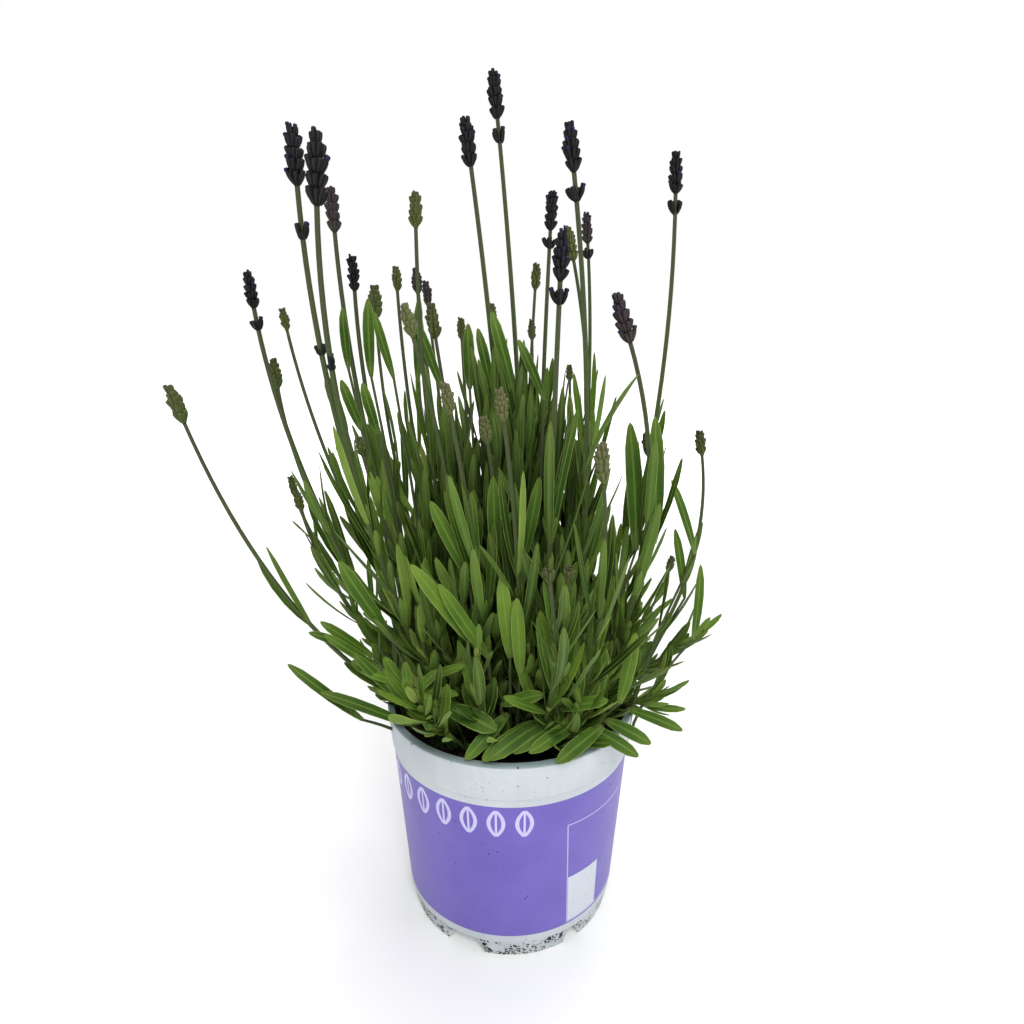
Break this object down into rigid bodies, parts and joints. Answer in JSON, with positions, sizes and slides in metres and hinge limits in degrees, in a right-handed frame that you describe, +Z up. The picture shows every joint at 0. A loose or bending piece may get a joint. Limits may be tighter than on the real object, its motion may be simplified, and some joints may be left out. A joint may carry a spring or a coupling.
{
  "type": "potted lavender",
  "caption": "Potted lavender: upright violet flower spikes and narrow green leaves in a round white and violet plastic nursery pot filled with peat.",
  "frame": {"origin": "middle of the pot's underside, on the surface it stands on", "axes": "+Z up along the pot's axis, -Y towards the printed front of the pot, +X to the right seen from the front"},
  "size_m": [0.2635, 0.2096, 0.418],
  "materials": {
    "pot": "satin white with a violet printed band",
    "soil": "moist dark peat, rough",
    "foliage": "soft matt grey-green leaves, stems and closed buds",
    "flower": "dark violet downy calyces"
  },
  "bodies": {
    "root": {"pot": "pot", "soil": "soil", "flower_stalk_01": "foliage", "flower_stalk_02": "foliage", "flower_stalk_03": "foliage", "flower_stalk_04": "foliage", "flower_stalk_05": "foliage", "flower_stalk_06": "foliage", "flower_stalk_07": "foliage", "flower_stalk_08": "foliage", "flower_stalk_09": "foliage", "flower_stalk_10": "foliage", "flower_stalk_11": "foliage", "flower_stalk_12": "foliage", "flower_stalk_13": "foliage", "flower_stalk_14": "foliage", "flower_stalk_15": "foliage", "flower_stalk_16": "foliage", "flower_stalk_17": "foliage", "flower_stalk_18": "foliage", "flower_stalk_19": "foliage", "flower_stalk_20": "foliage", "flower_stalk_21": "foliage", "flower_stalk_22": "foliage", "flower_stalk_23": "foliage", "flower_stalk_24": "foliage", "flower_stalk_25": "foliage", "flower_stalk_26": "foliage", "flower_stalk_27": "foliage", "flower_stalk_28": "foliage", "flower_stalk_29": "foliage", "flower_stalk_30": "foliage", "flower_stalk_31": "foliage", "flower_stalk_32": "foliage", "flower_stalk_33": "foliage", "flower_stalk_34": "foliage", "flower_spike_01": "flower", "flower_spike_02": "flower", "flower_spike_03": "flower", "flower_spike_04": "flower", "flower_spike_05": "flower", "flower_spike_06": "flower", "flower_spike_07": "flower", "flower_spike_08": "flower", "flower_spike_09": "flower", "flower_spike_10": "flower", "flower_spike_11": "flower", "flower_spike_12": "flower", "flower_spike_13": "flower", "flower_spike_14": "flower", "leafy_shoot_01": "foliage", "leafy_shoot_02": "foliage", "leafy_shoot_03": "foliage", "leafy_shoot_04": "foliage", "leafy_shoot_05": "foliage", "leafy_shoot_06": "foliage", "leafy_shoot_07": "foliage", "leafy_shoot_08": "foliage", "leafy_shoot_09": "foliage"}
  },
  "joints": []
}
